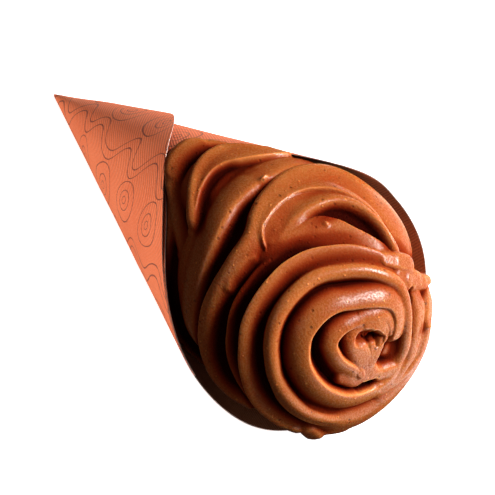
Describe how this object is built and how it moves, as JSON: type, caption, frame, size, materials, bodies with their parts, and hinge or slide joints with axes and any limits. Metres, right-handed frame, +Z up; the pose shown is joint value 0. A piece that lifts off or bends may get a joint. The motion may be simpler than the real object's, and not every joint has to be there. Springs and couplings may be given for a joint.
{
  "type": "ice cream cone",
  "caption": "Chocolate gelato piped as a rose in a rolled paper cone with an overlapping flap, lying on its side.",
  "frame": {"origin": "on the flattened strip that the cone rests on, under its centre of mass, 125 mm from the tip", "axes": "+X along the strip from the tip to the mouth, +Z up, with the open and overlapped side of the cone on top"},
  "size_m": [0.1877, 0.0835, 0.0724],
  "materials": {
    "paper": "matt ribbed paper, terracotta outside and dark brown inside",
    "gelato": "smooth moist chocolate gelato, satin to glossy"
  },
  "bodies": {
    "root": {"paper_cone": "paper", "ice_cream": "gelato"}
  },
  "joints": []
}
